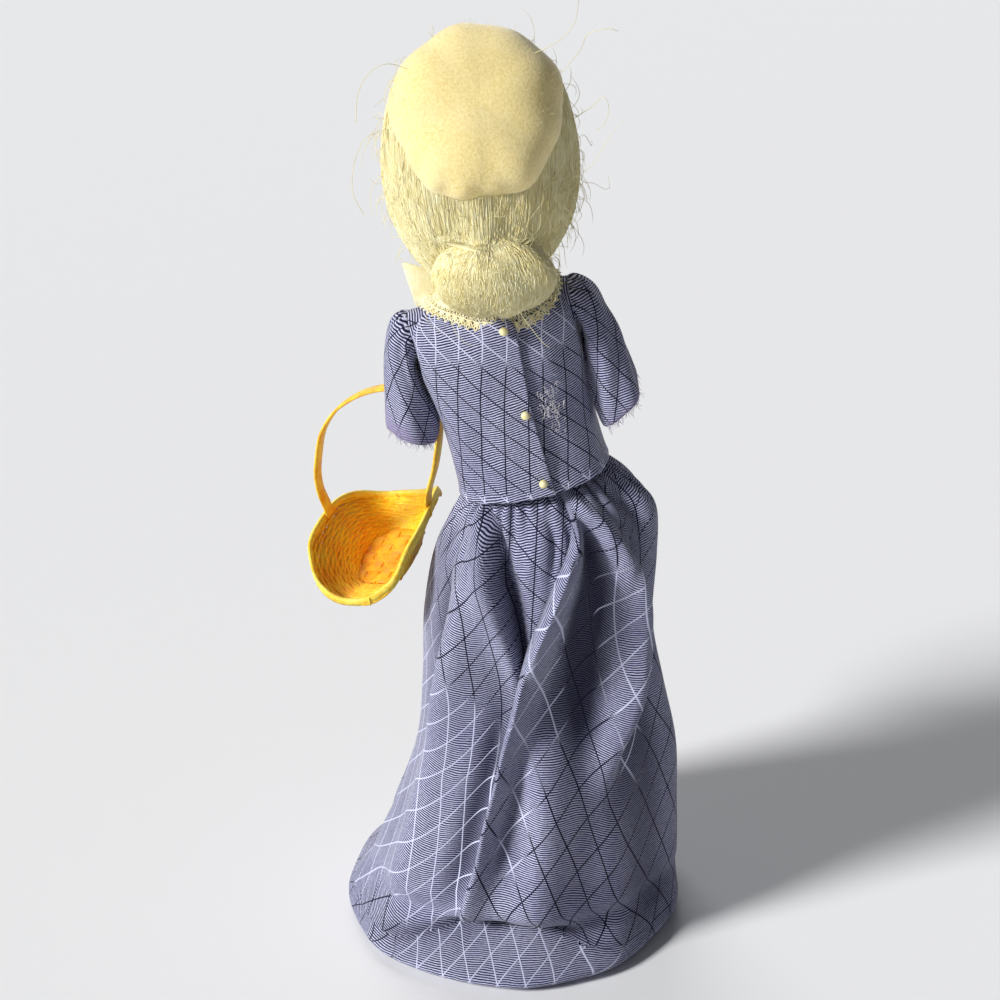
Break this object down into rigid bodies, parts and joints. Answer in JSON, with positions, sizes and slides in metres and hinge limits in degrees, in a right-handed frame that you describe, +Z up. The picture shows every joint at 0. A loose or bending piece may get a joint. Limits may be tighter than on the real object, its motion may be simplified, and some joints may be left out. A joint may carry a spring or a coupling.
{
  "type": "caroler figurine",
  "caption": "Standing cloth-dressed doll on a wire armature and round base, with gathered skirt, pinned jacket, lace collar, felt cap and a wicker basket on one forearm.",
  "frame": {"origin": "centre of the underside of the base pad, on the surface that the figurine stands on", "axes": "+Z up through the base; the figurine faces -Y, so its back is towards +Y and its left arm with the basket is towards +X"},
  "size_m": [0.1315, 0.1198, 0.3311],
  "materials": {
    "felt": "matt felt",
    "base_wood": "satin",
    "wire": "drawn wire",
    "paper": "matt",
    "cotton": "plain weave",
    "skirt_cloth": "ribbed weave with a woven diamond lattice",
    "band": "tape",
    "padding": "wound padding",
    "jacket_cloth": "ribbed weave with a woven diamond lattice",
    "pin": "gloss",
    "lace": "crochet lace",
    "skin": "painted clay, satin",
    "hair": "combed fibre",
    "cap_felt": "brushed felt",
    "sleeve_cloth": "ribbed weave with a woven diamond lattice",
    "wicker": "dyed reed",
    "wicker_rim": "dyed reed",
    "splint": "dyed flat splint"
  },
  "bodies": {
    "figure": {"base_felt": "felt", "base_disc": "base_wood", "leg_wire": "wire", "skirt_form": "paper", "petticoat": "cotton", "skirt": "skirt_cloth", "waistband": "band", "torso_padding": "padding", "spine_wire": "wire", "jacket": "jacket_cloth", "back_flap": "jacket_cloth", "collar_lace": "lace", "head": "skin", "hair": "hair", "hair_bun": "hair", "cap": "cap_felt"},
    "arm_left": {"left_arm": "padding", "left_arm_wire": "wire", "left_hand": "skin", "left_sleeve": "sleeve_cloth"},
    "arm_right": {"right_arm": "padding", "right_arm_wire": "wire", "right_hand": "skin", "right_sleeve": "sleeve_cloth"},
    "basket": {"basket_bowl": "wicker", "basket_rim": "wicker_rim", "basket_handle": "splint"},
    "pin_top": {"top_pin": "pin"},
    "pin_middle": {"middle_pin": "pin"},
    "pin_bottom": {"bottom_pin": "pin"}
  },
  "joints": [
    {"name": "left_shoulder", "type": "hinge", "parent": "figure", "child": "arm_left", "pos_m": [0.03234, 0, 0.22608], "axis": [-0.9724, 0, 0.2334], "range_deg": [0, 40]},
    {"name": "right_shoulder", "type": "hinge", "parent": "figure", "child": "arm_right", "pos_m": [-0.01939, 0, 0.2385], "axis": [-0.9724, 0, 0.2334], "range_deg": [-12, 40]},
    {"name": "basket_swing", "type": "hinge", "parent": "arm_left", "child": "basket", "pos_m": [0.03071, -0.0132, 0.19253], "axis": [-0.1855, -0.9816, 0.0445], "range_deg": [0, 35]},
    {"name": "top_pin_slide", "type": "slide", "parent": "figure", "child": "pin_top", "axis": [0, 1, 0], "range_m": [0, 0.026]},
    {"name": "middle_pin_slide", "type": "slide", "parent": "figure", "child": "pin_middle", "axis": [0, 1, 0], "range_m": [0, 0.026]},
    {"name": "bottom_pin_slide", "type": "slide", "parent": "figure", "child": "pin_bottom", "axis": [0, 1, 0], "range_m": [0, 0.026]}
  ]
}
